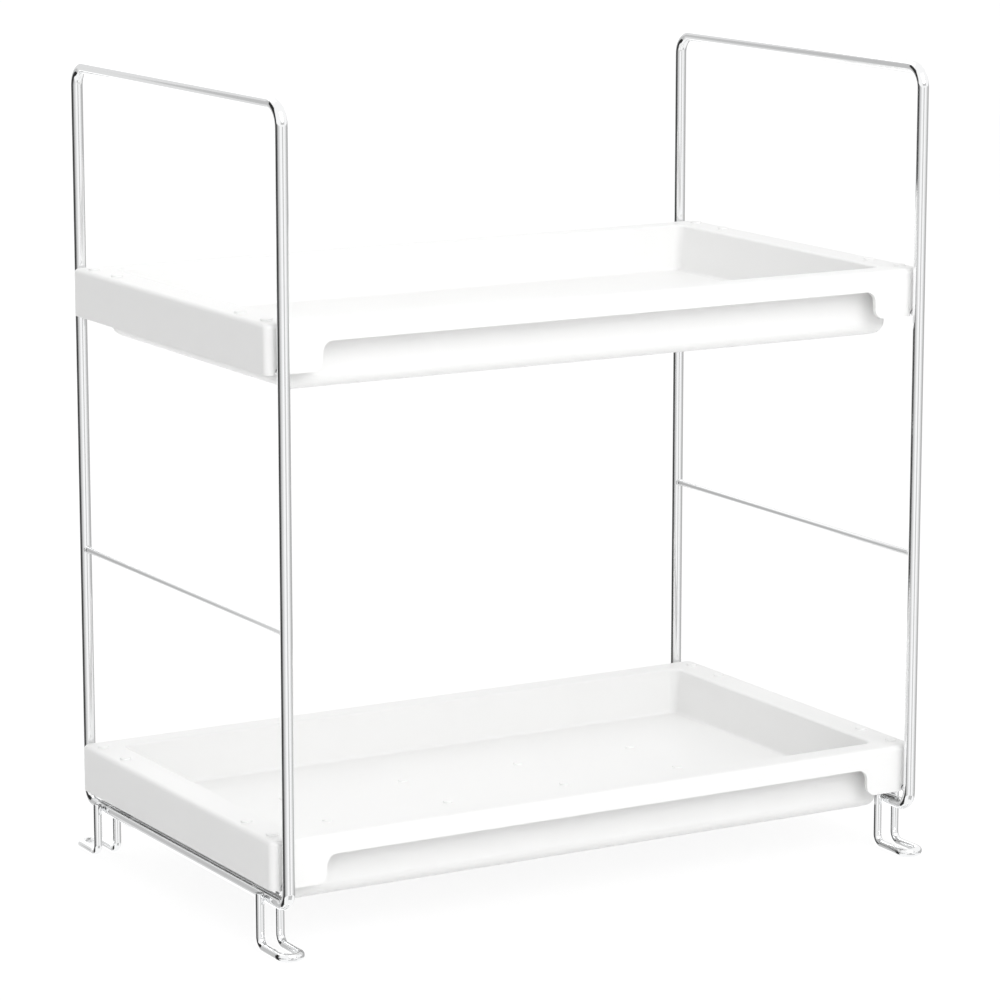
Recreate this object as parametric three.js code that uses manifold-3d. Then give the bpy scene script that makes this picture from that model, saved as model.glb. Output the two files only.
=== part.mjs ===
// Two-tier vanity shelf: two moulded trays carried between two bent wire hoops on hairpin feet.
// Millimetres, +Z up, X along the trays, -Y towards the front, origin on the counter under the middle.
import * as THREE from 'three';
import { mergeVertices } from 'three/addons/utils/BufferGeometryUtils.js';
import Module from 'manifold-3d';

const wasm = await Module();
wasm.setup();

// Wire diameters
const hoopWire = 5.0;
const barWire = 2.5;
const footWire = 3.5;

// Hoops
const hoopInset = 5.55;          // from a tray's end face in to the plane of the hoop
const topBendRadius = 8.2;       // to the centre of the wire
const bottomBendRadius = 6.5;    // to the centre of the wire
const railHeight = 20.85;        // counter to the middle of the bottom rail
const headroom = 82.85;          // upper rim to the middle of the top rail
const weldGap = 0.15;            // left between wires that are welded together

// Hairpin feet
const footLegInset = 16.4;       // from the middle of an upright along the rail to the legs
const footBendRadius = 4.2;      // to the centre of the wire
const footLength = 20.3;         // from the legs out to the middle of the wire at the tip

// Trays, outside
const trayLength = 304.7;
const trayDepth = 176.2;
const trayCornerRadius = 3.5;
const rimEdgeRadius = 2.0;
const rimThickness = 2.0;
const skirtWall = 1.8;
const endSkirtHeight = 19.65;    // at the ends and at the corner blocks
const sideSkirtHeight = 8.2;     // between the corner blocks, front and rear
const cornerBlockLength = 24.45; // from the end face to the steep part of the skirt's step
const skirtStepRadius = 4.4;     // both rounds of the step

// Trays, basin
const endRimWidth = 14.55;       // from the end face to the top of the basin wall
const sideRimWidth = 11.3;       // from the front or rear face to the top of the basin wall
const rimInnerRadius = 4.0;
const basinCornerRadius = 4.5;
const basinOuterCornerRadius = 3.0;
const basinLean = 1.8;           // how far the inner faces lean in down to the floor
const basinWall = 2.2;           // at the rim
const floorDepth = 20.0;         // rim down to the floor
const floorThickness = 2.4;
const floorRoundRadius = 1.5;    // where the walls meet the floor
const basinHeight = 28.3;        // rim down to the bottom of the foot ring
const footRingWidth = 6.5;
const footRingRadius = 4.2;

// Trays, small raised nubs and the ribs under the end rims
const rimNubDiameter = 4.8;
const rimNubHeight = 0.8;
const rimNubInsets = [10.1, 32.1]; // from the front or rear face
const floorNubDiameter = 4.0;
const floorNubHeight = 0.6;
const floorNubColumns = 4;
const floorNubRows = 3;
const floorNubColumnPitch = 56.8;
const floorNubRowPitch = 38.8;
const floorNubBackRow = 32.3;    // from the middle of the tray back to the rear row
const ribThickness = 1.6;
const ribSetback = 0.3;          // the ribs stop short of the skirt's lower edge

// Fit of the trays in the frame
const trayPlay = 1.25;           // between a tray's front or rear face and the uprights
const skirtClearance = 3.65;     // between the bottom rail and the lower tray's end skirt
const seatClearance = 0.3;       // between a support bar and its slot
const tierSpacing = 202.5;       // lower rim to upper rim

// Smoothness
const hoopSides = 16;
const barSides = 12;
const footSides = 12;
const bendSteps = 10;
const edgeSteps = 4;
const cornerSteps = 6;
const nubSides = 10;
const nubSteps = 1;
const slotSteps = 12;

// Working values
const mergeDistance = 1e-4;
const cutMargin = 1.0;           // how far a cutter runs past the face that it cuts
const sinkDepth = 0.5;           // how far a raised feature is rooted in its wall
const leastCornerRadius = 0.2;   // where an inset outline would run out of corner

// Sizes that follow from the ones above
const trayHalfLength = trayLength / 2;
const trayHalfDepth = trayDepth / 2;
const hoopX = trayHalfLength - hoopInset;
const uprightY = trayHalfDepth + trayPlay + hoopWire / 2;
const lowerRimHeight = railHeight + hoopWire / 2 + skirtClearance + endSkirtHeight;
const upperRimHeight = lowerRimHeight + tierSpacing;
const topRailHeight = upperRimHeight + headroom;
const supportBarDrop = endSkirtHeight - barWire / 2;
const lowerBarHeight = lowerRimHeight - supportBarDrop;
const upperBarHeight = upperRimHeight - supportBarDrop;
const middleBarHeight = (lowerBarHeight + upperBarHeight) / 2;
const footLegY = uprightY - footLegInset;
const footLegOffset = hoopWire / 2 + footWire / 2 + weldGap;
const footLegTop = railHeight + hoopWire / 2;
const footTipY = footLegY + footLength;
const wallTopX = trayHalfLength - endRimWidth;
const wallTopY = trayHalfDepth - sideRimWidth;

// Materials, with the colours seen in the photograph
function trayPlastic() {
  return new THREE.MeshStandardMaterial({ color: 0xf4f4f3, roughness: 0.35, metalness: 0.0 });
}

function chromeWire() {
  return new THREE.MeshStandardMaterial({ color: 0xd2d4d6, roughness: 0.08, metalness: 1.0 });
}

// A wire's centre line, met exactly at each of its stations
class WirePath extends THREE.Curve {
  constructor(stations) {
    super();
    this.stations = stations;
  }

  station(u) {
    return this.stations[Math.round(u * (this.stations.length - 1))];
  }

  getPointAt(u, target = new THREE.Vector3()) {
    return target.copy(this.station(u).point);
  }

  getTangentAt(u, target = new THREE.Vector3()) {
    return target.copy(this.station(u).tangent);
  }
}

// Stations along one round bend at a corner between two straight runs
function bendStations(before, corner, after, radius) {
  const arriving = corner.clone().sub(before).normalize();
  const leaving = after.clone().sub(corner).normalize();
  const turn = arriving.angleTo(leaving);
  const setback = radius * Math.tan(turn / 2);
  const start = corner.clone().addScaledVector(arriving, -setback);
  const inward = leaving.clone().addScaledVector(arriving, -arriving.dot(leaving)).normalize();
  const stations = [];
  for (let i = 0; i <= bendSteps; i++) {
    const angle = (turn * i) / bendSteps;
    const point = start.clone();
    point.addScaledVector(arriving, radius * Math.sin(angle));
    point.addScaledVector(inward, radius * (1 - Math.cos(angle)));
    const tangent = arriving.clone().multiplyScalar(Math.cos(angle));
    tangent.addScaledVector(inward, Math.sin(angle));
    stations.push({ point, tangent });
  }
  return stations;
}

// The whole centre line through the corners; radii has one entry for each corner between the ends
function wireStations(corners, radii) {
  const last = corners.length - 1;
  const stations = [];
  const add = (station) => {
    const previous = stations.at(-1);
    if (!previous || previous.point.distanceTo(station.point) > mergeDistance) {
      stations.push(station);
    }
  };
  add({ point: corners[0].clone(), tangent: corners[1].clone().sub(corners[0]).normalize() });
  for (let i = 1; i < last; i++) {
    bendStations(corners[i - 1], corners[i], corners[i + 1], radii[i - 1]).forEach(add);
  }
  add({ point: corners[last].clone(), tangent: corners[last].clone().sub(corners[last - 1]).normalize() });
  return stations;
}

// The wire's section: flat sides that touch the true circle, one of them facing each axis
function wireSection(diameter, sides) {
  const cornerReach = diameter / 2 / Math.cos(Math.PI / sides);
  const points = [];
  for (let i = 0; i < sides; i++) {
    const angle = ((i + 0.5) * 2 * Math.PI) / sides;
    points.push(new THREE.Vector2(cornerReach * Math.cos(angle), cornerReach * Math.sin(angle)));
  }
  return new THREE.Shape(points);
}

function sweptWire(corners, radii, diameter, sides) {
  const stations = wireStations(corners, radii);
  return new THREE.ExtrudeGeometry(wireSection(diameter, sides), {
    extrudePath: new WirePath(stations),
    steps: stations.length - 1,
  });
}

// A wire whose two ends meet: its end caps are left out and the end rings are merged
function closedWire(corners, radii, diameter, sides) {
  const open = sweptWire(corners, radii, diameter, sides);
  const side = open.groups.find((group) => group.materialIndex === 1);
  const positions = open.getAttribute('position').array;
  const kept = positions.slice(side.start * 3, (side.start + side.count) * 3);
  const ring = new THREE.BufferGeometry();
  ring.setAttribute('position', new THREE.BufferAttribute(kept, 3));
  return mergeVertices(ring, mergeDistance);
}

// Solids for joining and cutting
function toSolid(geometry) {
  const bare = geometry.clone();
  bare.deleteAttribute('normal');
  bare.deleteAttribute('uv');
  const merged = mergeVertices(bare, mergeDistance);
  const vertProperties = new Float32Array(merged.getAttribute('position').array);
  const triVerts = new Uint32Array(merged.getIndex().array);
  return new wasm.Manifold(new wasm.Mesh({ numProp: 3, vertProperties, triVerts }));
}

function toGeometry(solid) {
  const mesh = solid.getMesh();
  const geometry = new THREE.BufferGeometry();
  geometry.setAttribute('position', new THREE.BufferAttribute(new Float32Array(mesh.vertProperties), 3));
  geometry.setIndex(new THREE.BufferAttribute(new Uint32Array(mesh.triVerts), 1));
  geometry.computeVertexNormals();
  return geometry;
}

// A rectangle with round corners, anticlockwise, with the same number of points at any size
function roundedOutline(halfX, halfY, radius) {
  const points = [];
  const centres = [[1, 1], [-1, 1], [-1, -1], [1, -1]];
  centres.forEach(([signX, signY], quarter) => {
    for (let i = 0; i <= cornerSteps; i++) {
      const angle = (Math.PI / 2) * (quarter + i / cornerSteps);
      const x = signX * (halfX - radius) + radius * Math.cos(angle);
      const y = signY * (halfY - radius) + radius * Math.sin(angle);
      points.push(new THREE.Vector2(x, y));
    }
  });
  return points;
}

// A closed solid through rounded rectangles stacked upwards; each layer is { z, halfX, halfY, radius }
function stackedSolid(layers) {
  const outlines = layers.map(({ halfX, halfY, radius }) => roundedOutline(halfX, halfY, radius));
  const count = outlines[0].length;
  const positions = [];
  outlines.forEach((outline, level) => {
    outline.forEach((point) => positions.push(point.x, point.y, layers[level].z));
  });
  const index = [];
  for (let level = 0; level + 1 < layers.length; level++) {
    for (let i = 0; i < count; i++) {
      const next = (i + 1) % count;
      const low = level * count;
      const high = low + count;
      index.push(low + i, low + next, high + next);
      index.push(low + i, high + next, high + i);
    }
  }
  const top = (layers.length - 1) * count;
  for (const [a, b, c] of THREE.ShapeUtils.triangulateShape(outlines[0], [])) {
    index.push(a, c, b);
    index.push(top + a, top + b, top + c);
  }
  const geometry = new THREE.BufferGeometry();
  geometry.setAttribute('position', new THREE.Float32BufferAttribute(positions, 3));
  geometry.setIndex(index);
  return toSolid(geometry);
}

// The same rectangle grown by an amount all round, or shrunk by a negative one
function grown(outline, amount) {
  const radius = Math.max(outline.radius + amount, leastCornerRadius);
  return { halfX: outline.halfX + amount, halfY: outline.halfY + amount, radius };
}

// Quarter-round steps from 0 to 1: how far along and how far across at each step
function quarterRound() {
  const steps = [];
  for (let i = 0; i <= edgeSteps; i++) {
    const angle = (Math.PI / 2) * (i / edgeSteps);
    steps.push({ along: Math.sin(angle), across: 1 - Math.cos(angle) });
  }
  return steps;
}

// Layers that round the lower edge of an outline whose bottom is at the given height
function roundedFoot(bottom, outline, radius) {
  return quarterRound().map(({ along, across }) => {
    return { z: bottom + radius * across, ...grown(outline, -radius * (1 - along)) };
  });
}

// Tray outlines, with the rim's top at z = 0
const trayOutline = { halfX: trayHalfLength, halfY: trayHalfDepth, radius: trayCornerRadius };
const wallTop = { halfX: wallTopX, halfY: wallTopY, radius: basinCornerRadius };
const wallFoot = grown(wallTop, -basinLean);
const outerWall = { ...grown(wallTop, basinWall), radius: basinOuterCornerRadius };

// The rim plate with its skirt hanging all round
function rimAndSkirt() {
  const outside = [{ z: -endSkirtHeight, ...trayOutline }];
  for (const { along, across } of quarterRound()) {
    outside.push({ z: rimEdgeRadius * (along - 1), ...grown(trayOutline, -rimEdgeRadius * across) });
  }
  const inside = grown(trayOutline, -skirtWall);
  const hollow = stackedSolid([
    { z: -endSkirtHeight - cutMargin, ...inside },
    { z: -rimThickness, ...inside },
  ]);
  return stackedSolid(outside).subtract(hollow);
}

// A profile drawn in X and Z, run along Y for a length centred on y = 0
function runAlongY(shape, depth, curveSegments) {
  const geometry = new THREE.ExtrudeGeometry(shape, { depth, bevelEnabled: false, curveSegments });
  geometry.rotateX(Math.PI / 2);
  return geometry.translate(0, depth / 2, 0);
}

// The step profile that shortens the skirt between the corner blocks, front and rear
function skirtCut() {
  const stepX = trayHalfLength - cornerBlockLength;
  const low = -endSkirtHeight - cutMargin;
  const shape = new THREE.Shape();
  shape.moveTo(-stepX - skirtStepRadius, low);
  shape.lineTo(stepX + skirtStepRadius, low);
  shape.lineTo(stepX + skirtStepRadius, -endSkirtHeight);
  shape.absarc(stepX + skirtStepRadius, -endSkirtHeight + skirtStepRadius, skirtStepRadius,
    -Math.PI / 2, -Math.PI, true);
  shape.absarc(stepX - skirtStepRadius, -sideSkirtHeight - skirtStepRadius, skirtStepRadius,
    0, Math.PI / 2, false);
  shape.absarc(-stepX + skirtStepRadius, -sideSkirtHeight - skirtStepRadius, skirtStepRadius,
    Math.PI / 2, Math.PI, false);
  shape.absarc(-stepX - skirtStepRadius, -endSkirtHeight + skirtStepRadius, skirtStepRadius,
    0, -Math.PI / 2, true);
  const geometry = runAlongY(shape, skirtWall + 2 * cutMargin, cornerSteps);
  const middleY = trayHalfDepth - skirtWall / 2;
  const front = toSolid(geometry.clone().translate(0, -middleY, 0));
  const rear = toSolid(geometry.clone().translate(0, middleY, 0));
  return front.add(rear);
}

// The basin's outside, closed, down to the round lower edge of its foot ring
function basinBody() {
  const layers = roundedFoot(-basinHeight, outerWall, footRingRadius);
  layers.push({ z: -rimThickness / 2, ...outerWall });
  return stackedSolid(layers);
}

// The space inside the basin, with its round floor edge and the flare into the rim
function basinSpace() {
  const layers = roundedFoot(-floorDepth, wallFoot, floorRoundRadius);
  for (const { along, across } of quarterRound()) {
    layers.push({ z: -rimInnerRadius * (1 - along), ...grown(wallTop, rimInnerRadius * across) });
  }
  layers.push({ z: cutMargin, ...grown(wallTop, rimInnerRadius) });
  return stackedSolid(layers);
}

// The recess under the floor that leaves the foot ring standing
function floorRecess() {
  const outline = grown(outerWall, -footRingWidth);
  return stackedSolid([
    { z: -basinHeight - cutMargin, ...outline },
    { z: -floorDepth - floorThickness, ...outline },
  ]);
}

// A low round nub with a rounded top edge, standing on z = 0
function nub(diameter, height) {
  const radius = diameter / 2;
  const profile = [new THREE.Vector2(0, -sinkDepth), new THREE.Vector2(radius, -sinkDepth)];
  for (let i = 0; i <= nubSteps; i++) {
    const angle = (Math.PI / 2) * (i / nubSteps);
    profile.push(new THREE.Vector2(radius - height * (1 - Math.cos(angle)), height * Math.sin(angle)));
  }
  profile.push(new THREE.Vector2(0, height));
  return new THREE.LatheGeometry(profile, nubSides).rotateX(Math.PI / 2);
}

// Places mirrored to all four corners of the tray
function mirrored(x, y) {
  return [[-x, -y], [x, -y], [-x, y], [x, y]];
}

function rimNubs() {
  const geometry = nub(rimNubDiameter, rimNubHeight);
  const places = rimNubInsets.flatMap((inset) => mirrored(hoopX, trayHalfDepth - inset));
  return places.map(([x, y]) => toSolid(geometry.clone().translate(x, y, 0)));
}

function floorNubs() {
  const geometry = nub(floorNubDiameter, floorNubHeight);
  const solids = [];
  for (let column = 0; column < floorNubColumns; column++) {
    for (let row = 0; row < floorNubRows; row++) {
      const x = (column - (floorNubColumns - 1) / 2) * floorNubColumnPitch;
      const y = floorNubBackRow - row * floorNubRowPitch;
      solids.push(toSolid(geometry.clone().translate(x, y, -floorDepth)));
    }
  }
  return solids;
}

// Cross ribs in the end channels, each under a rim nub
function seatRibs() {
  const innerX = wallTopX + basinWall / 2;
  const outerX = trayHalfLength - skirtWall / 2;
  const bottom = -endSkirtHeight + ribSetback;
  const top = -rimThickness / 2;
  const geometry = new THREE.BoxGeometry(outerX - innerX, ribThickness, top - bottom);
  const places = rimNubInsets.flatMap((inset) => mirrored((innerX + outerX) / 2, trayHalfDepth - inset));
  return places.map(([x, y]) => toSolid(geometry.clone().translate(x, y, (top + bottom) / 2)));
}

// The slots through ribs and skirts that drop over the support bars, open downwards
function barSlots() {
  const radius = barWire / 2 + seatClearance;
  const low = -endSkirtHeight - cutMargin;
  const shape = new THREE.Shape();
  shape.moveTo(-radius, low);
  shape.lineTo(radius, low);
  shape.lineTo(radius, -supportBarDrop);
  shape.absarc(0, -supportBarDrop, radius, 0, Math.PI, false);
  const geometry = runAlongY(shape, trayDepth + 2 * cutMargin, slotSteps);
  return [-hoopX, hoopX].map((x) => toSolid(geometry.clone().translate(x, 0, 0)));
}

function trayGeometry() {
  let tray = rimAndSkirt().subtract(skirtCut());
  tray = tray.add(basinBody());
  for (const rib of seatRibs()) {
    tray = tray.add(rib);
  }
  tray = tray.subtract(basinSpace()).subtract(floorRecess());
  for (const slot of barSlots()) {
    tray = tray.subtract(slot);
  }
  for (const raised of [...rimNubs(), ...floorNubs()]) {
    tray = tray.add(raised);
  }
  return toGeometry(tray);
}

// One closed hoop in the plane x = 0, its ends meeting in the middle of the bottom rail
function hoopGeometry() {
  const weld = new THREE.Vector3(0, 0, railHeight);
  const corners = [
    weld,
    new THREE.Vector3(0, uprightY, railHeight),
    new THREE.Vector3(0, uprightY, topRailHeight),
    new THREE.Vector3(0, -uprightY, topRailHeight),
    new THREE.Vector3(0, -uprightY, railHeight),
    weld,
  ];
  const radii = [bottomBendRadius, topBendRadius, topBendRadius, bottomBendRadius];
  return closedWire(corners, radii, hoopWire, hoopSides);
}

// Half the clear width inside a hoop at a height, less where the bottom bends close in
function hoopInnerReach(height) {
  const bendTop = railHeight + bottomBendRadius;
  const below = Math.max(bendTop - height, 0);
  const innerRadius = bottomBendRadius - hoopWire / 2;
  return uprightY - bottomBendRadius + Math.sqrt(innerRadius ** 2 - below ** 2);
}

// A straight bar across a hoop, butted between its uprights
function crossBarGeometry(height) {
  const halfLength = hoopInnerReach(height - barWire / 2) - weldGap;
  const ends = [new THREE.Vector3(0, -halfLength, height), new THREE.Vector3(0, halfLength, height)];
  return sweptWire(ends, [], barWire, barSides);
}

// A hairpin foot astride the rail in the plane x = 0; side is -1 at the front and 1 at the rear
function footGeometry(side) {
  const legY = side * footLegY;
  const tipY = side * footTipY;
  const ground = footWire / 2;
  const corners = [
    new THREE.Vector3(-footLegOffset, legY, footLegTop),
    new THREE.Vector3(-footLegOffset, legY, ground),
    new THREE.Vector3(-footLegOffset, tipY, ground),
    new THREE.Vector3(footLegOffset, tipY, ground),
    new THREE.Vector3(footLegOffset, legY, ground),
    new THREE.Vector3(footLegOffset, legY, footLegTop),
  ];
  const radii = [footBendRadius, footLegOffset, footLegOffset, footBendRadius];
  return sweptWire(corners, radii, footWire, footSides);
}

function namedMesh(name, geometry, material) {
  const mesh = new THREE.Mesh(geometry, material);
  mesh.name = name;
  return mesh;
}

// One side of the frame: a hoop with its cross bars and its two feet
function frameSide(sideName, x) {
  const side = new THREE.Group();
  side.position.x = x;
  side.add(namedMesh(`${sideName}_hoop`, hoopGeometry(), chromeWire()));
  const bars = {
    lower_support_bar: lowerBarHeight,
    middle_bar: middleBarHeight,
    upper_support_bar: upperBarHeight,
  };
  for (const [barName, height] of Object.entries(bars)) {
    side.add(namedMesh(`${sideName}_${barName}`, crossBarGeometry(height), chromeWire()));
  }
  side.add(namedMesh(`front_${sideName}_foot`, footGeometry(-1), chromeWire()));
  side.add(namedMesh(`rear_${sideName}_foot`, footGeometry(1), chromeWire()));
  return side;
}

function tray(name, geometry, rimHeight) {
  const mesh = namedMesh(name, geometry, trayPlastic());
  mesh.position.z = rimHeight;
  return mesh;
}

function vanityShelf() {
  const shelf = new THREE.Group();
  shelf.name = 'vanity_shelf';
  shelf.add(frameSide('left', -hoopX));
  shelf.add(frameSide('right', hoopX));
  const geometry = trayGeometry();
  shelf.add(tray('lower_tray', geometry, lowerRimHeight));
  shelf.add(tray('upper_tray', geometry, upperRimHeight));
  return shelf;
}

export default vanityShelf();
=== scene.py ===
"""Two-tier vanity shelf: bright wire hoops on hairpin feet carrying two moulded white trays."""

import math
from collections import namedtuple

import bmesh
import bpy
from bpy.props import FloatProperty, FloatVectorProperty, IntProperty, PointerProperty
from mathutils import Matrix, Vector


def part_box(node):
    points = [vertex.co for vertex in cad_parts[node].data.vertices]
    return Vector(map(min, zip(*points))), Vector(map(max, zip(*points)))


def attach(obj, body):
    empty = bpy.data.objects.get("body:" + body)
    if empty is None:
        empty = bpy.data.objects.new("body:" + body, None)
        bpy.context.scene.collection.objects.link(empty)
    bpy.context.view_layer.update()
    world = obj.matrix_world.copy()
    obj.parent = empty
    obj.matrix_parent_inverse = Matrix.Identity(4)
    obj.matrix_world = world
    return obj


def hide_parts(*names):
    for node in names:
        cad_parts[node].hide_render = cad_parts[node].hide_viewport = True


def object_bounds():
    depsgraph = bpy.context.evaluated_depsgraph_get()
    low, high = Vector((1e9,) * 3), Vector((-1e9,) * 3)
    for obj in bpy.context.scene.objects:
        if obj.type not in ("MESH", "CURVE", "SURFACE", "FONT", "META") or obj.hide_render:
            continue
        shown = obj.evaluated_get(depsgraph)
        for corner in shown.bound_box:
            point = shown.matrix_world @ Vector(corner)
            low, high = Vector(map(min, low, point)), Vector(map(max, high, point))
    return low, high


bl_info = {
    "name": "Vanity Shelf",
    "version": (1, 0, 0),
    "blender": (4, 5, 0),
    "location": "3D View > Sidebar > Vanity Shelf",
    "description": "Builds the finished wires, trays and studio of a two-tier vanity shelf",
    "category": "Object",
}

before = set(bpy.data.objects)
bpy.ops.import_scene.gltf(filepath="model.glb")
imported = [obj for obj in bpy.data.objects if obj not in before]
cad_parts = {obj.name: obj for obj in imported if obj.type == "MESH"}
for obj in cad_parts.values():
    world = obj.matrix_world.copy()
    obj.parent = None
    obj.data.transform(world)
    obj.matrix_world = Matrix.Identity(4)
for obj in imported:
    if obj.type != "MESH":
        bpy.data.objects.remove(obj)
SOLID_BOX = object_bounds()

MM = 0.001
SIDES = ("left", "right")
BARS = ("lower_support_bar", "middle_bar", "upper_support_bar")
TRAYS = ("lower_tray", "upper_tray")
FEET = ("front_left_foot", "front_right_foot", "rear_left_foot", "rear_right_foot")
FRAME_BODY = "frame"

# Fineness of the meshes
WIRE_SIDES = 40
BEND_STEPS = 14
CORNER_STEPS = 12
EDGE_STEPS = 8
CUT_STEPS = 2
NUB_SIDES = 32
NUB_STEPS = 4
BEAD_SIDES = 20
BEAD_RINGS = 12
MERGE_DISTANCE = 1e-6
SHORTEST_RUN = 1e-6
LEAST_RADIUS = 0.3 * MM
SHARP_ANGLE = math.radians(38)

# Small forms: how much of a nub's height is rounded, and the outline of a bar's weld, as distances from
# the upright and swellings there in shares of the weld's size
NUB_ROUND = 0.8
WELD_OUTLINE = ((0.0, 1.0), (0.4, 0.4), (1.0, 0.1), (2.0, 0.0))

# Surface textures: noise in waves per metre, swings as shares of the plain tone and roughness
Texture = namedtuple("Texture", "clouds tone_swing roughness_swing grain bump bump_height")
PLATING_TEXTURE = Texture(160.0, 0.02, 0.3, 420.0, 0.08, 0.02 * MM)
PLASTIC_TEXTURE = Texture(35.0, 0.012, 0.15, 1800.0, 0.12, 0.05 * MM)
NOISE_DETAIL = 3.0
PLASTIC_IOR = 1.5
FLOOR_ROUGHNESS = 0.9

# Studio layout: lamps, floor and reflectors in metres
KEY_PLACE = Vector((-0.02, -1.55, 1.45))
REAR_PLACE = Vector((-0.17, 1.19, 1.89))
FILL_PLACE = Vector((-0.35, -1.9, 0.12))
LAMP_SIZE = 1.4
FLOOR_REACH = 12.0
REFLECTOR_DISTANCE = 3.0
REFLECTOR_STEPS = 12

# Reflectors: a name, turns leftwards from the camera and rises above the level in degrees, and a
# brightness; the uprights mirror a narrow band all round, and the rails a taller one behind them
UPRIGHT_RISES = (-25, 7)
RAIL_RISES = (-42, 42)
REFLECTORS = (
    ("left_dark", (76, 110), (-50, 40), 0.03),
    ("left_dim", (57, 76), UPRIGHT_RISES, 0.22),
    ("left_soft", (35, 57), UPRIGHT_RISES, 0.62),
    ("left_pale", (17, 35), UPRIGHT_RISES, 0.80),
    ("front_strip", (-34, -16), UPRIGHT_RISES, 0.60),
    ("right_pale", (-92, -66), UPRIGHT_RISES, 0.80),
    ("right_grey", (-178, -92), UPRIGHT_RISES, 0.48),
    ("rear_grey", (110, 122), RAIL_RISES, 0.55),
    ("rear_pale", (122, 136), RAIL_RISES, 0.78),
    ("rear_white", (136, 182), RAIL_RISES, 1.25),
    ("front_high", (-62, 2), (12, 42), 0.60),
    ("front_low", (-70, 4), (-48, -27), 0.55),
)


def length(name, description, millimetres):
    """A size property, written in millimetres and kept in metres."""
    return FloatProperty(
        name=name,
        description=description,
        default=millimetres * MM,
        min=0.0,
        precision=5,
        subtype="DISTANCE",
        unit="LENGTH",
    )


def angle(name, description, degrees):
    """An angle property, written in degrees."""
    return FloatProperty(
        name=name,
        description=description,
        default=math.radians(degrees),
        subtype="ANGLE",
        unit="ROTATION",
    )


def colour(name, description, default):
    """A colour property."""
    return FloatVectorProperty(
        name=name, description=description, default=default, size=3, min=0.0, max=1.0, subtype="COLOR"
    )


def level(name, description, default):
    """A plain number property from zero up."""
    return FloatProperty(name=name, description=description, default=default, min=0.0)


def count(name, description, default):
    """A whole number property from one up."""
    return IntProperty(name=name, description=description, default=default, min=1)


class ShelfWireSettings(bpy.types.PropertyGroup):
    """Sizes and finish of the bent wires"""

    top_bend: length("Top Bend", "Radius of a hoop's upper bends, to the middle of the wire", 8.2)
    bottom_bend: length("Bottom Bend", "Radius of a hoop's lower bends, to the middle of the wire", 6.5)
    foot_wire: length("Foot Wire", "Diameter of the wire of the hairpin feet", 3.5)
    foot_bend: length("Foot Bend", "Radius of the bend between a foot's leg and its flat part", 4.2)
    cut_edge: length("Cut Edge", "Round on the cut ends of the feet", 0.35)
    weld_size: length("Weld Size", "How far a weld stands out round a bar's end", 0.45)
    bar_sink: length("Bar Sink", "How far a bar's end runs into the upright that it is welded to", 0.7)
    bead_width: length("Bead Width", "Half the width of the weld between a leg and its rail", 1.1)
    bead_depth: length("Bead Depth", "Half the thickness of the weld between a leg and its rail", 0.5)
    tint: colour("Plating", "Colour of the bright plating", (0.93, 0.935, 0.94))
    # Painted shade: a darker copy of the plating tint that stands in for the greyer reflections on the
    # thin bars
    shaded_bar_tint: colour("Bar Plating", "Colour of the duller plating on the thin bars", (0.80, 0.805, 0.81))
    roughness: level("Plating Roughness", "Roughness of the plating", 0.07)


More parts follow.
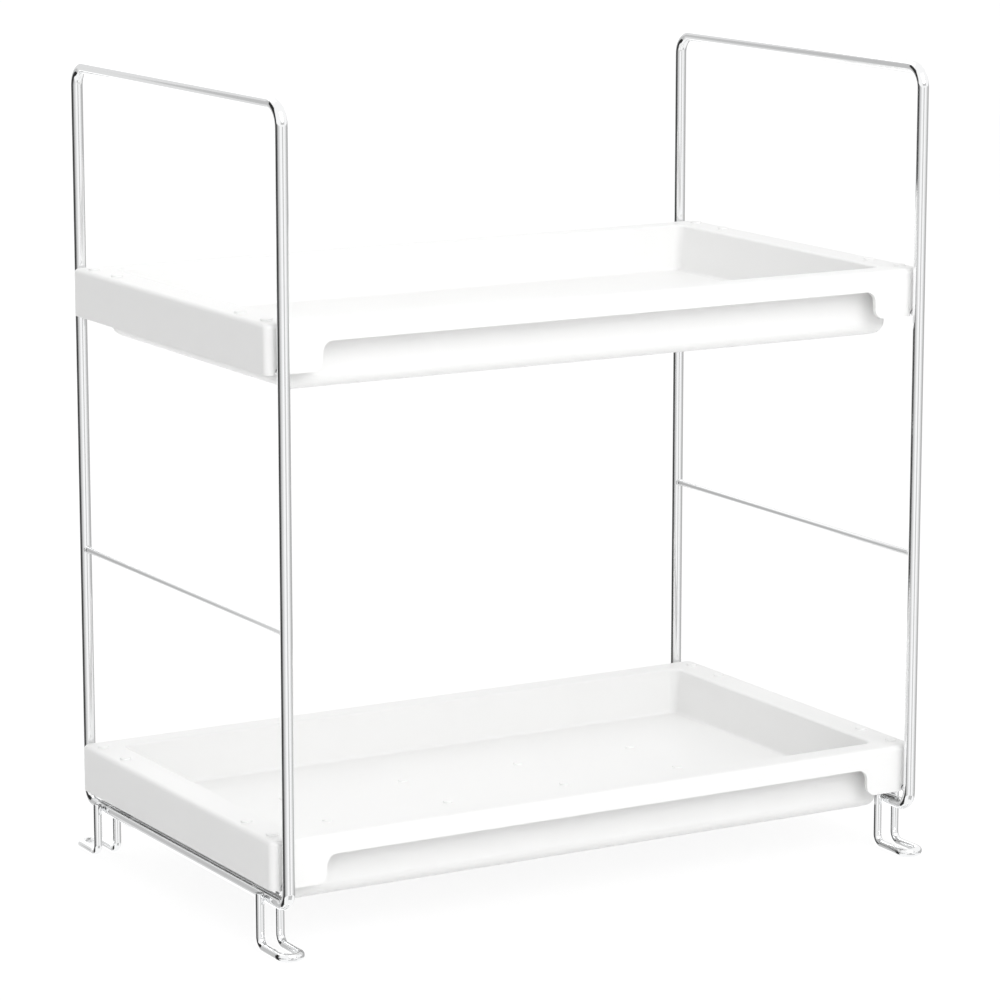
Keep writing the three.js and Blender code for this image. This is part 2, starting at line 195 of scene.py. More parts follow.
class ShelfTraySettings(bpy.types.PropertyGroup):
    """Sizes and finish of the moulded trays"""

    corner: length("Corner Radius", "Upright corners of the skirt", 3.5)
    rim_edge: length("Rim Edge", "Round on the outer edge of the rim", 2.0)
    rim: length("Rim Thickness", "Thickness of the rim", 2.0)
    skirt_wall: length("Skirt Wall", "Thickness of the skirt", 1.8)
    end_skirt: length("End Skirt", "Height of the skirt at the ends and corner blocks", 19.65)
    side_skirt: length("Side Skirt", "Height of the skirt along the front and the rear", 8.2)
    corner_block: length("Corner Block", "From an end face to the steep part of the skirt's step", 24.45)
    step_round: length("Step Round", "Both rounds of the skirt's step", 4.4)
    end_rim: length("End Rim", "Width of the rim at the ends", 14.55)
    side_rim: length("Side Rim", "Width of the rim along the front and the rear", 11.3)
    flare: length("Rim Flare", "Round from the rim into the basin", 1.3)
    basin_corner: length("Basin Corner", "Upright corners inside the basin", 4.5)
    basin_outer_corner: length("Basin Outer Corner", "Upright corners outside the basin", 3.0)
    lean: length("Basin Lean", "How far the inner walls lean in down to the floor", 1.8)
    basin_wall: length("Basin Wall", "Thickness of the basin's wall at the rim", 2.2)
    floor_depth: length("Floor Depth", "From the rim down to the floor", 20.0)
    floor: length("Floor Thickness", "Thickness of the floor", 2.4)
    floor_round: length("Floor Round", "Round between the walls and the floor", 1.5)
    basin_height: length("Basin Height", "From the rim down to the bottom of the foot ring", 28.3)
    ring_width: length("Foot Ring Width", "Width of the ring under the basin", 8.5)
    ring_round: length("Foot Ring Round", "Round on the ring's outer edge", 6.2)
    rim_nub: length("Rim Nub", "Diameter of the nubs on the end rims", 4.8)
    rim_nub_height: length("Rim Nub Height", "Height of the nubs on the end rims", 0.8)
    outer_nub_inset: length("Outer Nub Inset", "From the front or rear face to the outer rim nubs", 10.1)
    inner_nub_inset: length("Inner Nub Inset", "From the front or rear face to the inner rim nubs", 32.1)
    floor_nub: length("Floor Nub", "Diameter of the nubs on the floor", 4.0)
    floor_nub_height: length("Floor Nub Height", "Height of the nubs on the floor", 0.6)
    floor_columns: count("Floor Columns", "Nubs along the floor", 4)
    floor_rows: count("Floor Rows", "Nubs across the floor", 3)
    column_pitch: length("Column Pitch", "Between the floor nubs along the tray", 56.8)
    row_pitch: length("Row Pitch", "Between the floor nubs across the tray", 38.8)
    rear_row: length("Rear Row", "From the middle of the tray back to the rear row of nubs", 32.3)
    rib: length("Rib Thickness", "Thickness of the ribs under the end rims", 1.6)
    rib_setback: length("Rib Setback", "How far the ribs stop short of the skirt's lower edge", 0.3)
    slot_clearance: length("Slot Clearance", "Between a support bar and its slot", 0.3)
    sink: length("Sink", "How far nubs are rooted in the surface that they stand on", 0.4)
    tint: colour("Plastic", "Colour of the white plastic", (0.90, 0.90, 0.895))
    roughness: level("Plastic Roughness", "Roughness of the white plastic", 0.34)


class ShelfStageSettings(bpy.types.PropertyGroup):
    """The camera, the floor and the studio light"""

    camera_place: FloatVectorProperty(
        name="Camera Place",
        description="Where the camera stands",
        default=(-0.8605, -1.4880, 0.4942),
        size=3,
        subtype="XYZ",
        unit="LENGTH",
    )
    camera_turn: angle("Camera Turn", "Turn about the upright axis; nought looks back", -30.064)
    camera_dip: angle("Camera Dip", "How far the camera looks down", 11.277)
    lens: level("Lens", "Focal length in millimetres", 151.3)
    backdrop: colour("Backdrop", "Colour of the floor and of what lies behind", (1.0, 1.0, 1.0))
    room_level: level("Room Level", "Light that comes from all round", 0.65)
    key_power: level("Key Power", "Power of the large soft lamp at the front, in watts", 19.5)
    fill_power: level("Fill Power", "Power of the low soft lamp at the front, in watts", 4.0)
    rear_power: level("Rear Power", "Power of the soft lamp behind the shelf, in watts", 6.0)
    floor_bounce: level("Floor Bounce", "Share of the light that the floor throws back", 0.90)
    floor_shade: level("Floor Shade", "How much of the shelf's shadow shows on the floor", 0.10)


# Edges, loops and pieces
def rounded_chain(bm, corners):
    """A closed chain of edges through corners, each a place and a radius; returns its edges."""
    earlier = set(bm.edges)
    verts = [bm.verts.new(place) for place, _ in corners]
    for here, there in zip(verts, verts[1:] + verts[:1]):
        bm.edges.new((here, there))
    radii = [radius for _, radius in corners]
    for radius in sorted(set(radii) - {0.0}):
        alike = [vert for vert, own_radius in zip(verts, radii) if own_radius == radius]
        rounded(bm, alike, radius, CORNER_STEPS, "VERTICES")
    made = [edge for edge in bm.edges if edge not in earlier]
    bmesh.ops.remove_doubles(bm, verts=verts_of(made), dist=MERGE_DISTANCE)
    return [edge for edge in bm.edges if edge not in earlier]


def rounded(bm, parts, radius, steps, affect="EDGES"):
    """Rounds edges, or corners of a chain of edges."""
    bmesh.ops.bevel(
        bm,
        geom=parts,
        offset=radius,
        offset_type="OFFSET",
        segments=steps,
        profile=0.5,
        affect=affect,
        material=-1,
        clamp_overlap=False,
    )


def verts_of(edges):
    """The vertices of some edges, each once."""
    return list({vert for edge in edges for vert in edge.verts})


def drawn_out(bm, edges, offset):
    """Draws a loop of edges out by an offset; returns the new loop."""
    made = bmesh.ops.extrude_edge_only(bm, edges=edges)["geom"]
    moved = {part for part in made if isinstance(part, bmesh.types.BMVert)}
    bmesh.ops.translate(bm, verts=list(moved), vec=offset)
    new_edges = [part for part in made if isinstance(part, bmesh.types.BMEdge)]
    return [edge for edge in new_edges if moved.issuperset(edge.verts)]


def skinned(bm, loops):
    """Skins a row of loops that have the same number of points."""
    for here, there in zip(loops, loops[1:]):
        bmesh.ops.bridge_loops(bm, edges=here + there)


def finished_piece(bm, name, material, body, node):
    """Makes a piece of a finished mesh; it rides on its body and stands for its node."""
    bmesh.ops.remove_doubles(bm, verts=bm.verts, dist=MERGE_DISTANCE)
    bmesh.ops.recalc_face_normals(bm, faces=bm.faces)
    mesh = bpy.data.meshes.new(name)
    bm.to_mesh(mesh)
    bm.free()
    mesh.shade_smooth()
    mesh.set_sharp_from_angle(angle=SHARP_ANGLE)
    mesh.materials.append(material)
    piece = bpy.data.objects.new(name, mesh)
    bpy.context.scene.collection.objects.link(piece)
    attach(piece, body)
    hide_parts(node)
    return piece


# Materials
class NodeSheet:
    """The nodes of a material or a world, added one at a time and joined by their sockets."""

    def __init__(self, owner, output_kind):
        owner.use_nodes = True
        self.tree = owner.node_tree
        self.tree.nodes.clear()
        self.surface = self.tree.nodes.new(output_kind).inputs["Surface"]

    def add(self, kind, **values):
        """A new node with values set on its input sockets."""
        node = self.tree.nodes.new(kind)
        for name, value in values.items():
            node.inputs[name.replace("_", " ")].default_value = value
        return node

    def join(self, source, target):
        """A link from an output socket to an input socket."""
        self.tree.links.new(source, target)

    def noise(self, scale):
        """Noise on the piece's own coordinates."""
        place = self.add("ShaderNodeTexCoord")
        node = self.add("ShaderNodeTexNoise", Scale=scale, Detail=NOISE_DETAIL)
        self.join(place.outputs["Object"], node.inputs["Vector"])
        return node.outputs["Fac"]

    def between(self, factor, low, high):
        """A number that goes from low to high with a factor."""
        node = self.add("ShaderNodeMapRange", To_Min=low, To_Max=high)
        self.join(factor, node.inputs["Value"])
        return node.outputs["Result"]

    def tones(self, factor, tint, spread):
        """A colour that wanders by a small share on both sides of a tint."""
        node = self.add("ShaderNodeValToRGB")
        for end, change in zip(node.color_ramp.elements, (1 - spread, 1 + spread)):
            end.color = (*[min(part * change, 1.0) for part in tint], 1.0)
        self.join(factor, node.inputs["Fac"])
        return node.outputs["Color"]

    def bump(self, height, strength, distance):
        """A surface that rises and falls with a height."""
        node = self.add("ShaderNodeBump", Strength=strength, Distance=distance)
        self.join(height, node.inputs["Height"])
        return node.outputs["Normal"]

    def seen_directly(self):
        """One where a ray comes from the camera, a mirror or a glass, and nought for plain light."""
        path = self.add("ShaderNodeLightPath")
        seen = path.outputs["Is Camera Ray"]
        for other in ("Is Glossy Ray", "Is Transmission Ray"):
            node = self.add("ShaderNodeMath")
            node.operation = "MAXIMUM"
            self.join(seen, node.inputs[0])
            self.join(path.outputs[other], node.inputs[1])
            seen = node.outputs["Value"]
        return seen


def material_sheet(name):
    """A new material and its empty sheet of nodes."""
    material = bpy.data.materials.new(name)
    return material, NodeSheet(material, "ShaderNodeOutputMaterial")


def textured_material(name, tint, roughness, texture, **shader_values):
    """A material whose tone, roughness and surface wander a little over the piece."""
    if name in bpy.data.materials:
        return bpy.data.materials[name]
    material, sheet = material_sheet(name)
    shader = sheet.add("ShaderNodeBsdfPrincipled", **shader_values)
    cloud = sheet.noise(texture.clouds)
    sheet.join(sheet.tones(cloud, tint, texture.tone_swing), shader.inputs["Base Color"])
    smoothest = roughness * (1 - texture.roughness_swing)
    roughest = roughness * (1 + texture.roughness_swing)
    sheet.join(sheet.between(cloud, smoothest, roughest), shader.inputs["Roughness"])
    grain = sheet.noise(texture.grain)
    sheet.join(sheet.bump(grain, texture.bump, texture.bump_height), shader.inputs["Normal"])
    sheet.join(shader.outputs["BSDF"], sheet.surface)
    return material


def bright_plating(wire):
    """Bright plated wire, with faint clouding and the slight waviness of drawn wire."""
    return textured_material("bright_plating", wire.tint, wire.roughness, PLATING_TEXTURE, Metallic=1.0)


def shaded_bar_plating(wire):
    """The same plating with a darker tint: painted shade that stands in for the greyer reflections on
    the thin bars.
    """
    return textured_material("shaded_bar_plating", wire.shaded_bar_tint, wire.roughness, PLATING_TEXTURE, Metallic=1.0)


def moulded_plastic(tray):
    """White moulded plastic, satin, with a fine grain and a barely uneven tone."""
    return textured_material(
        "moulded_plastic", tray.tint, tray.roughness, PLASTIC_TEXTURE, IOR=PLASTIC_IOR
    )


# Wires
def section_ring(bm, place, heading, diameter):
    """The round section that a wire starts from; returns its edges."""
    turn = heading.to_track_quat("Z", "Y").to_matrix().to_4x4()
    made = bmesh.ops.create_circle(
        bm,
        cap_ends=False,
        segments=WIRE_SIDES,
        radius=diameter / 2,
        matrix=Matrix.Translation(place) @ turn,
    )
    return list({edge for vert in made["verts"] for edge in vert.link_edges})


def bent_ring(bm, ring, centre, axis, turn):
    """Turns a section about a bend's centre; returns the section at the bend's end."""
    made = bmesh.ops.spin(
        bm,
        geom=verts_of(ring) + ring,
        cent=centre,
        axis=axis,
        angle=turn,
        steps=BEND_STEPS,
        use_duplicate=False,
    )
    return [part for part in made["geom_last"] if isinstance(part, bmesh.types.BMEdge)]


def drawn_wire(bm, corners, radii, diameter):
    """Draws a wire through corners, bent at each inner one; returns its first and last sections."""
    place = corners[0]
    heading = (corners[1] - corners[0]).normalized()
    first = section_ring(bm, place, heading, diameter)
    ring = first
    for corner, after, radius in zip(corners[1:-1], corners[2:], radii):
        leaving = (after - corner).normalized()
        turn = heading.angle(leaving)
        setback = radius * math.tan(turn / 2)
        bend_start = corner - heading * setback
        if (bend_start - place).length > SHORTEST_RUN:
            ring = drawn_out(bm, ring, bend_start - place)
        axis = heading.cross(leaving).normalized()
        centre = bend_start + axis.cross(heading) * radius
        ring = bent_ring(bm, ring, centre, axis, turn)
        place = corner + leaving * setback
        heading = leaving
    last = drawn_out(bm, ring, corners[-1] - place)
    return first, last


class SHELF_OT_hoops(bpy.types.Operator):
    """Builds the two closed wire hoops at the ends of the shelf"""

    bl_idname = "vanity_shelf.hoops"
    bl_label = "Wire Hoops"

    def execute(self, context):
        wire = context.scene.shelf_wire
        for side in SIDES:
            node = f"{side}_hoop"
            low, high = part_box(node)
            diameter = high.x - low.x
            reach = Vector((0, diameter / 2, diameter / 2))
            middle = (low + high) / 2
            inner_low = low + reach
            inner_high = high - reach
            weld = Vector((middle.x, middle.y, inner_low.z))
            places = [
                (inner_high.y, inner_low.z),
                (inner_high.y, inner_high.z),
                (inner_low.y, inner_high.z),
                (inner_low.y, inner_low.z),
            ]
            corners = [weld, *[Vector((middle.x, y, z)) for y, z in places], weld]
            radii = [wire.bottom_bend, wire.top_bend, wire.top_bend, wire.bottom_bend]
            bm = bmesh.new()
            drawn_wire(bm, corners, radii, diameter)
            finished_piece(bm, f"{node}_wire", bright_plating(wire), FRAME_BODY, node)
        return {"FINISHED"}


def bar_stations(span, radius, wire):
    """Distances along a bar and its radius at each: it spreads into a small weld at both ends."""
    weld = wire.weld_size
    near = [(-wire.bar_sink, radius + weld)]
    near += [(distance * weld, radius + swelling * weld) for distance, swelling in WELD_OUTLINE]
    far = [(span - distance, spread) for distance, spread in reversed(near)]
    return near + far


class SHELF_OT_cross_bars(bpy.types.Operator):
    """Builds the thin bars that are welded across the hoops"""

    bl_idname = "vanity_shelf.cross_bars"
    bl_label = "Cross Bars"

    def execute(self, context):
        wire = context.scene.shelf_wire
        for side in SIDES:
            for bar in BARS:
                node = f"{side}_{bar}"
                low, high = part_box(node)
                middle = (low + high) / 2
                start = Vector((middle.x, low.y, middle.z))
                stations = bar_stations(high.y - low.y, (high.z - low.z) / 2, wire)
                bm = bmesh.new()
                self.draw_bar(bm, start, stations)
                finished_piece(bm, f"{node}_wire", shaded_bar_plating(wire), FRAME_BODY, node)
        return {"FINISHED"}

    def draw_bar(self, bm, start, stations):
        """Draws a bar back from its front end through its stations."""
        back = Vector((0, 1, 0))
        distance, radius = stations[0]
        ring = section_ring(bm, start + back * distance, back, 2 * radius)
        bmesh.ops.edgeloop_fill(bm, edges=ring)
        for next_distance, next_radius in stations[1:]:
            ring = drawn_out(bm, ring, back * (next_distance - distance))
            growth = next_radius / radius
            to_middle = Matrix.Translation(-(start + back * next_distance))
            bmesh.ops.scale(bm, vec=(growth, 1.0, growth), space=to_middle, verts=verts_of(ring))
            distance = next_distance
            radius = next_radius
        bmesh.ops.edgeloop_fill(bm, edges=ring)


class SHELF_OT_feet(bpy.types.Operator):
    """Builds the four hairpin feet astride the bottom rails"""

    bl_idname = "vanity_shelf.feet"
    bl_label = "Hairpin Feet"

    def execute(self, context):
        wire = context.scene.shelf_wire
        for node in FEET:
            end, side, _ = node.split("_")
            bm = bmesh.new()
            legs = self.draw_hairpin(bm, node, end, wire)
            self.add_welds(bm, legs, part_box(f"{side}_hoop"), wire)
            finished_piece(bm, f"{node}_wire", bright_plating(wire), FRAME_BODY, node)
        return {"FINISHED"}

    def draw_hairpin(self, bm, node, end, wire):
        """Draws one leg, the flat part round its tip and the other leg; returns the tops of the legs."""
        low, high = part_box(node)
        reach = Vector((1, 1, 1)) * wire.foot_wire / 2
        inner_low = low + reach
        inner_high = high - reach
        leg_y, tip_y = inner_low.y, inner_high.y
        if end == "front":
            leg_y, tip_y = tip_y, leg_y
        ground = inner_low.z
        left_top = Vector((inner_low.x, leg_y, high.z))
        right_top = Vector((inner_high.x, leg_y, high.z))
        corners = [
            left_top,
            Vector((left_top.x, leg_y, ground)),
            Vector((left_top.x, tip_y, ground)),
            Vector((right_top.x, tip_y, ground)),
            Vector((right_top.x, leg_y, ground)),
            right_top,
        ]
        tip_bend = (right_top.x - left_top.x) / 2
        radii = [wire.foot_bend, tip_bend, tip_bend, wire.foot_bend]
        for cut_end in drawn_wire(bm, corners, radii, wire.foot_wire):
            bmesh.ops.edgeloop_fill(bm, edges=cut_end)
            rounded(bm, cut_end, wire.cut_edge, CUT_STEPS)
        return left_top, right_top

    def add_welds(self, bm, legs, hoop_box, wire):
        """Adds a flattened bead where each leg touches the rail."""
        low, high = hoop_box
        rail_reach = (high.x - low.x) / 2
        rail_x = (low.x + high.x) / 2
        for leg in legs:
            outward = math.copysign(rail_reach, leg.x - rail_x)
            place = Vector((rail_x + outward, leg.y, low.z + rail_reach))
            stretch = Matrix.Diagonal((wire.bead_depth, wire.bead_width, wire.bead_width, 1.0))
            bmesh.ops.create_uvsphere(
                bm,
                u_segments=BEAD_SIDES,
                v_segments=BEAD_RINGS,
                radius=1.0,
                matrix=Matrix.Translation(place) @ stretch,
            )


# Trays
class TrayMould:
    """The outlines of one tray, with its rim at z = 0 and its middle at the origin."""

    def __init__(self, size, half_x, half_y, bar_x, bar_radius):
        self.size = size
        self.half_x = half_x
        self.half_y = half_y
        self.bar_x = bar_x
        self.wall_x = half_x - size.end_rim
        self.wall_y = half_y - size.side_rim
        self.slot = bar_radius + size.slot_clearance
        self.slot_top = -size.end_skirt + bar_radius + self.slot

    def beside_wall(self, bm, outward, radius, z):
        """A level outline at an even distance from the top of the basin wall; returns its edges."""
        x = self.wall_x + outward
        y = self.wall_y + outward
        places = [(-x, -y), (x, -y), (x, y), (-x, y)]
        return rounded_chain(bm, [(Vector((*place, z)), radius) for place in places])

    def slotted_edge(self, low):
        """A lower edge with the slot over the support bar: x, z and radius at each corner."""
        return [
            (self.bar_x - self.slot, low, 0.0),
            (self.bar_x - self.slot, self.slot_top, self.slot),
            (self.bar_x + self.slot, self.slot_top, self.slot),
            (self.bar_x + self.slot, low, 0.0),
        ]

    def skirt_edge(self, bm, inward):
        """The skirt's stepped and slotted lower edge, an even distance inside the tray's faces."""
        size = self.size
        low = -size.end_skirt
        step_x = self.half_x - size.corner_block
        right_half = [
            (step_x, -size.side_skirt, size.step_round),
            (step_x, low, size.step_round),
            *self.slotted_edge(low),
            (self.half_x - inward, low, size.corner - inward),
        ]
        left_half = [(-x, z, radius) for x, z, radius in reversed(right_half)]
        y = self.half_y - inward
        front = [(Vector((x, -y, z)), radius) for x, z, radius in left_half + right_half]
        rear = [(Vector((-place.x, y, place.z)), radius) for place, radius in front]
        return rounded_chain(bm, front + rear)


def quarter_round():
    """Steps of a quarter circle: how far along and how far across at each."""
    turns = [math.pi / 2 * step / EDGE_STEPS for step in range(EDGE_STEPS + 1)]
    return [(math.sin(turn), 1 - math.cos(turn)) for turn in turns]


def basin_inside(bm, mould):
    """The floor, the leaning walls and the flare into the rim; returns the flare's upper edge."""
    size = mould.size
    loops = []
    for along, across in quarter_round():
        inward = size.lean + size.floor_round * (1 - along)
        z = -size.floor_depth + size.floor_round * across
        loops.append(mould.beside_wall(bm, -inward, size.basin_corner - inward, z))
    for along, across in quarter_round():
        outward = size.flare * across
        z = -size.flare * (1 - along)
        loops.append(mould.beside_wall(bm, outward, size.basin_corner + outward, z))
    skinned(bm, loops)
    bmesh.ops.edgeloop_fill(bm, edges=loops[0])
    return loops[-1]


def basin_outside(bm, mould):
    """The outer walls, the foot ring and the floor's underside; returns the walls' upper edge."""
    size = mould.size
    bottom = -size.basin_height
    corner = size.basin_outer_corner
    loops = [mould.beside_wall(bm, size.basin_wall, corner, -size.rim)]
    for along, across in reversed(quarter_round()):
        inward = size.ring_round * (1 - along)
        radius = max(corner - inward, LEAST_RADIUS)
        z = bottom + size.ring_round * across
        loops.append(mould.beside_wall(bm, size.basin_wall - inward, radius, z))
    skinned(bm, loops)
    ring_edge = mould.beside_wall(bm, size.basin_wall - size.ring_width, corner, bottom)
    bmesh.ops.triangle_fill(bm, use_beauty=True, edges=loops[-1] + ring_edge, normal=(0, 0, -1))
    recess = Vector((0, 0, size.basin_height - size.floor_depth - size.floor))
    bmesh.ops.edgeloop_fill(bm, edges=drawn_out(bm, ring_edge, recess))
    return loops[0]


def raised_wall(bm, edges, z):
    """Draws a lower edge straight up to one level; returns the edges at that level."""
    loop = drawn_out(bm, edges, Vector((0, 0, 0)))
    verts = verts_of(loop)
    for vert in verts:
        vert.co.z = z
    bmesh.ops.remove_doubles(bm, verts=verts, dist=MERGE_DISTANCE)
    kept = {vert for vert in verts if vert.is_valid}
    return [edge for edge in bm.edges if edge.is_boundary and kept.issuperset(edge.verts)]


def skirt_and_rim(bm, mould, flare_edge, wall_edge):
    """The skirt, the rim's rounded edge and the rim's two faces."""
    size = mould.size
    outer_low = mould.skirt_edge(bm, 0.0)
    inner_low = mould.skirt_edge(bm, size.skirt_wall)
    skinned(bm, [outer_low, inner_low])
    under_rim = raised_wall(bm, inner_low, -size.rim)
    rim_edge = raised_wall(bm, outer_low, 0.0)
    bmesh.ops.edgeloop_fill(bm, edges=rim_edge)
    rounded(bm, rim_edge, size.rim_edge, EDGE_STEPS)
    lid = max(bm.faces, key=lambda face: min(vert.co.z for vert in face.verts))
    lid_edge = list(lid.edges)
    bmesh.ops.delete(bm, geom=[lid], context="FACES_ONLY")
    bmesh.ops.triangle_fill(bm, use_beauty=True, edges=lid_edge + flare_edge, normal=(0, 0, 1))
    bmesh.ops.triangle_fill(bm, use_beauty=True, edges=under_rim + wall_edge, normal=(0, 0, -1))


def add_nub(bm, place, diameter, height, sink):
    """A low round nub with a softly rounded top edge."""
    depth = height + sink
    middle = place + Vector((0, 0, height - depth / 2))
    made = bmesh.ops.create_cone(
        bm,
        cap_ends=True,
        segments=NUB_SIDES,
        radius1=diameter / 2,
        radius2=diameter / 2,
        depth=depth,
        matrix=Matrix.Translation(middle),
    )
    top = {vert for vert in made["verts"] if vert.co.z > middle.z}
    edge = [edge for vert in top for edge in vert.link_edges if top.issuperset(edge.verts)]
    rounded(bm, list(set(edge)), NUB_ROUND * height, NUB_STEPS)


def nub_insets(size):
    """How far the rim nubs, and the ribs under them, stand from the front or rear face."""
    return size.outer_nub_inset, size.inner_nub_inset


def add_nubs(bm, mould):
    """The nubs on the end rims and on the floor."""
    size = mould.size
    for inset in nub_insets(size):
        y = mould.half_y - inset
        for place in ((-mould.bar_x, -y), (mould.bar_x, -y), (-mould.bar_x, y), (mould.bar_x, y)):
            add_nub(bm, Vector((*place, 0.0)), size.rim_nub, size.rim_nub_height, size.sink)
    for column in range(size.floor_columns):
        for row in range(size.floor_rows):
            x = (column - (size.floor_columns - 1) / 2) * size.column_pitch
            y = size.rear_row - row * size.row_pitch
            place = Vector((x, y, -size.floor_depth))
            add_nub(bm, place, size.floor_nub, size.floor_nub_height, size.sink)


def add_rib(bm, mould, side, y):
    """One slotted cross rib in an end channel; side is -1 at the left and 1 at the right."""
    size = mould.size
    inner = mould.wall_x + size.basin_wall / 2
    outer = mould.half_x - size.skirt_wall / 2
    top = -size.rim / 2
    bottom = -size.end_skirt + size.rib_setback
    outline = [
        (inner, top, 0.0),
        (inner, bottom, 0.0),
        *mould.slotted_edge(bottom),
        (outer, bottom, 0.0),
        (outer, top, 0.0),
    ]
    front = y - size.rib / 2
    edges = rounded_chain(bm, [(Vector((side * x, front, z)), radius) for x, z, radius in outline])
    face = bmesh.ops.edgeloop_fill(bm, edges=edges)["faces"][0]
    made = bmesh.ops.extrude_face_region(bm, geom=[face], use_keep_orig=True)["geom"]
    moved = [part for part in made if isinstance(part, bmesh.types.BMVert)]
    bmesh.ops.translate(bm, verts=moved, vec=(0, size.rib, 0))


def add_ribs(bm, mould):
    """The cross ribs under the rim nubs."""
    for inset in nub_insets(mould.size):
        y = mould.half_y - inset
        for side in (-1, 1):
            add_rib(bm, mould, side, -y)
            add_rib(bm, mould, side, y)


class SHELF_OT_trays(bpy.types.Operator):
    """Builds the two moulded trays"""

    bl_idname = "vanity_shelf.trays"
    bl_label = "Moulded Trays"

    def execute(self, context):
        size = context.scene.shelf_tray
        for node in TRAYS:
            low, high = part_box(node)
            bar_low, bar_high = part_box("right_" + node.replace("tray", "support_bar"))
            mould = TrayMould(
                size,
                (high.x - low.x) / 2,
                (high.y - low.y) / 2,
                (bar_low.x + bar_high.x) / 2,
                (bar_high.z - bar_low.z) / 2,
            )
            bm = bmesh.new()
            self.draw_tray(bm, mould)
            rim_height = low.z + size.basin_height
            bmesh.ops.translate(bm, verts=bm.verts, vec=(0, 0, rim_height))
            tray = finished_piece(bm, f"{node}_moulding", moulded_plastic(size), node, node)
            tray.modifiers.new("Even Shading", "WEIGHTED_NORMAL").keep_sharp = True
        return {"FINISHED"}

    def draw_tray(self, bm, mould):
        """Draws the whole tray about the origin."""
        flare_edge = basin_inside(bm, mould)
        wall_edge = basin_outside(bm, mould)
        skirt_and_rim(bm, mould, flare_edge, wall_edge)
        add_nubs(bm, mould)
        add_ribs(bm, mould)


# Studio
def staged(name, bm, material):
    """A mesh that belongs to the studio and not to the shelf."""
    mesh = bpy.data.meshes.new(name)
    bm.to_mesh(mesh)
    bm.free()
    mesh.materials.append(material)
    thing = bpy.data.objects.new(name, mesh)
    bpy.context.scene.collection.objects.link(thing)
    return thing


def facing(place, target):
    """The turn and place of something that stands at one place and faces another."""
    turn = (target - place).to_track_quat("-Z", "Y").to_matrix().to_4x4()
    return Matrix.Translation(place) @ turn


def add_floor(stage):
    """A pale floor, lifted to white where it is seen, that still takes a faint shadow of the shelf."""
    material, sheet = material_sheet("pale_floor")
    seen = sheet.seen_directly()
    white = (*stage.backdrop, 1.0)
    shader = sheet.add("ShaderNodeBsdfPrincipled", Roughness=FLOOR_ROUGHNESS, Emission_Color=white)
    sheet.join(sheet.between(seen, stage.floor_bounce, stage.floor_shade), shader.inputs["Base Color"])
    sheet.join(sheet.between(seen, 0.0, 1 - stage.floor_shade), shader.inputs["Emission Strength"])
    sheet.join(shader.outputs["BSDF"], sheet.surface)
    bm = bmesh.new()
    bmesh.ops.create_grid(bm, x_segments=1, y_segments=1, size=FLOOR_REACH)
    floor = staged("floor", bm, material)
    floor.visible_glossy = False


def add_room_light(stage):
    """Even light from all round, white where it is seen."""
    world = bpy.data.worlds.new("studio_room")
    sheet = NodeSheet(world, "ShaderNodeOutputWorld")
    room = sheet.add("ShaderNodeBackground", Color=(*stage.backdrop, 1.0))
    strength = sheet.between(sheet.seen_directly(), stage.room_level, 1.0)
    sheet.join(strength, room.inputs["Strength"])
    sheet.join(room.outputs["Background"], sheet.surface)
    bpy.context.scene.world = world


def add_lamp(name, place, target, power, mirrored=True):
    """A large soft square lamp; unless it is mirrored, reflections leave it out."""
    lamp = bpy.data.lights.new(name, "AREA")
    lamp.size = LAMP_SIZE
    lamp.energy = power
    thing = bpy.data.objects.new(name, lamp)
    thing.matrix_world = facing(place, target)
    thing.visible_glossy = mirrored
    bpy.context.scene.collection.objects.link(thing)


def add_reflector(stage, name, turns, rises, brightness):
    """A card of even brightness, on a wide ring round the shelf, that shows only in reflections.

    Its turns are measured leftwards from the camera and its rises up from the level.
    """
    material, sheet = material_sheet(name)
    glow = sheet.add("ShaderNodeEmission", Color=(*stage.backdrop, 1.0), Strength=brightness)
    sheet.join(glow.outputs["Emission"], sheet.surface)
    first, last = (stage.camera_turn - math.radians(turn) for turn in turns)
    foot = Vector((math.sin(first), -math.cos(first), 0.0)) * REFLECTOR_DISTANCE
    bm = bmesh.new()
    heights = [math.tan(math.radians(rise)) * REFLECTOR_DISTANCE for rise in rises]
    low, high = (foot + Vector((0, 0, height)) for height in heights)
    edge = bm.edges.new((bm.verts.new(low), bm.verts.new(high)))
    bmesh.ops.spin(
        bm,
        geom=[*edge.verts, edge],
        cent=(0, 0, 0),
        axis=(0, 0, 1),
        angle=last - first,
        steps=REFLECTOR_STEPS,
        use_duplicate=False,
    )
    card = staged(name, bm, material)
    card.visible_camera = False
    card.visible_diffuse = False
    card.visible_shadow = False
    card.visible_transmission = False


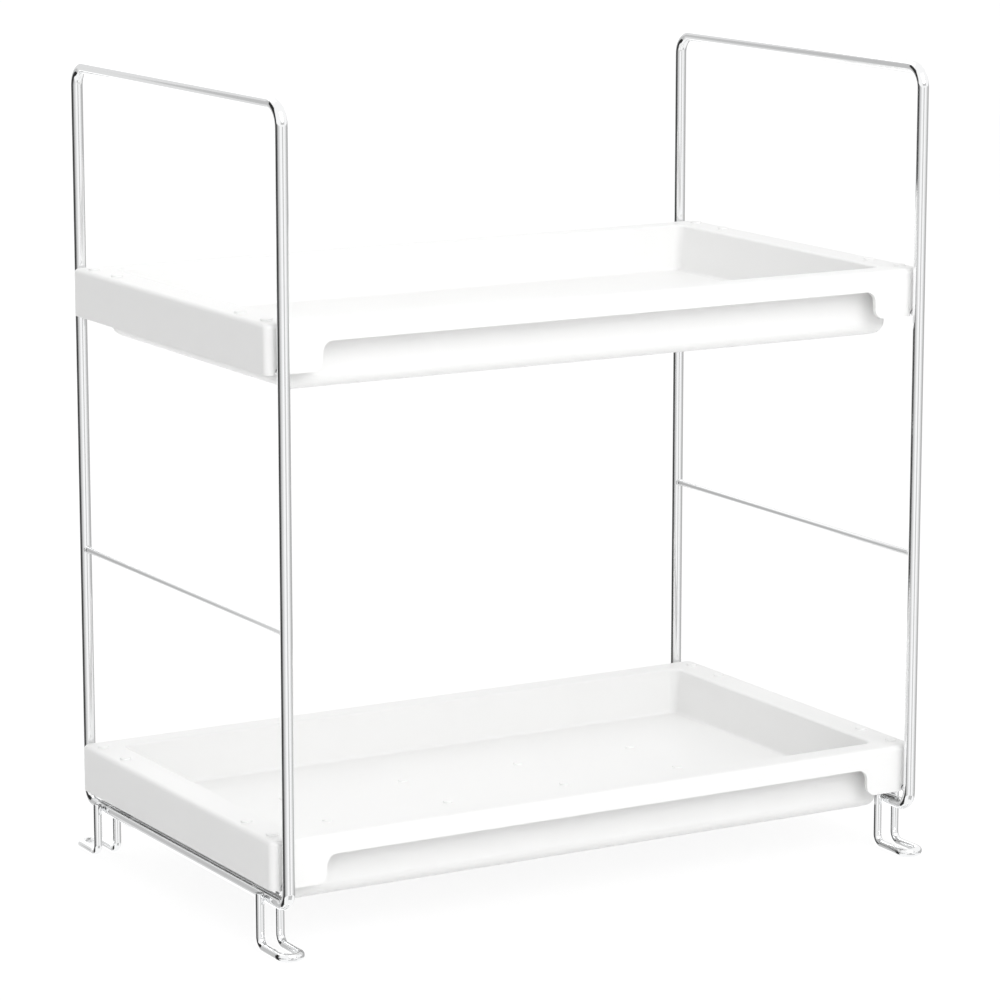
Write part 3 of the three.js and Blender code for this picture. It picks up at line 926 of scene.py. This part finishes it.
class SHELF_OT_stage(bpy.types.Operator):
    """Sets up the floor, the light and the camera"""

    bl_idname = "vanity_shelf.stage"
    bl_label = "Studio"

    def execute(self, context):
        scene = context.scene
        stage = scene.shelf_stage
        low, high = SOLID_BOX
        middle = (low + high) / 2
        add_floor(stage)
        add_room_light(stage)
        add_lamp("key_lamp", KEY_PLACE, middle, stage.key_power)
        add_lamp("rear_lamp", REAR_PLACE, middle, stage.rear_power)
        add_lamp("fill_lamp", FILL_PLACE, middle, stage.fill_power, mirrored=False)
        for reflector in REFLECTORS:
            add_reflector(stage, *reflector)
        self.add_camera(scene, stage)
        scene.view_settings.view_transform = "Standard"
        return {"FINISHED"}

    def add_camera(self, scene, stage):
        """Stands the camera where the photograph was taken from."""
        camera = bpy.data.cameras.new("camera")
        camera.lens = stage.lens
        thing = bpy.data.objects.new("camera", camera)
        level_reach = math.cos(stage.camera_dip)
        back = Vector(
            (
                math.sin(stage.camera_turn) * level_reach,
                -math.cos(stage.camera_turn) * level_reach,
                math.sin(stage.camera_dip),
            )
        )
        place = Vector(stage.camera_place)
        thing.matrix_world = facing(place, place - back)
        scene.collection.objects.link(thing)
        scene.camera = thing


OPERATORS = (SHELF_OT_hoops, SHELF_OT_cross_bars, SHELF_OT_feet, SHELF_OT_trays, SHELF_OT_stage)
SETTINGS = {
    "shelf_wire": ShelfWireSettings,
    "shelf_tray": ShelfTraySettings,
    "shelf_stage": ShelfStageSettings,
}


class SHELF_PT_sidebar(bpy.types.Panel):
    """Lists the shelf's pieces, its studio and their settings"""

    bl_idname = "SHELF_PT_sidebar"
    bl_label = "Vanity Shelf"
    bl_space_type = "VIEW_3D"
    bl_region_type = "UI"
    bl_category = "Vanity Shelf"

    def draw(self, context):
        for operator in OPERATORS:
            self.layout.operator(operator.bl_idname)
        for name, kind in SETTINGS.items():
            group = getattr(context.scene, name)
            box = self.layout.box()
            box.label(text=kind.__doc__)
            for setting in kind.__annotations__:
                box.prop(group, setting)


def register():
    """Registers the classes and gives the scene its settings."""
    for kind in (*SETTINGS.values(), *OPERATORS, SHELF_PT_sidebar):
        bpy.utils.register_class(kind)
    for name, kind in SETTINGS.items():
        setattr(bpy.types.Scene, name, PointerProperty(type=kind))


def unregister():
    """Takes the settings and the classes away again."""
    for name in SETTINGS:
        delattr(bpy.types.Scene, name)
    for kind in (SHELF_PT_sidebar, *reversed(OPERATORS), *SETTINGS.values()):
        bpy.utils.unregister_class(kind)


def main():
    """Builds the shelf and its studio."""
    register()
    bpy.ops.vanity_shelf.hoops()
    bpy.ops.vanity_shelf.cross_bars()
    bpy.ops.vanity_shelf.feet()
    bpy.ops.vanity_shelf.trays()
    bpy.ops.vanity_shelf.stage()


if __name__ == "__main__":
    main()
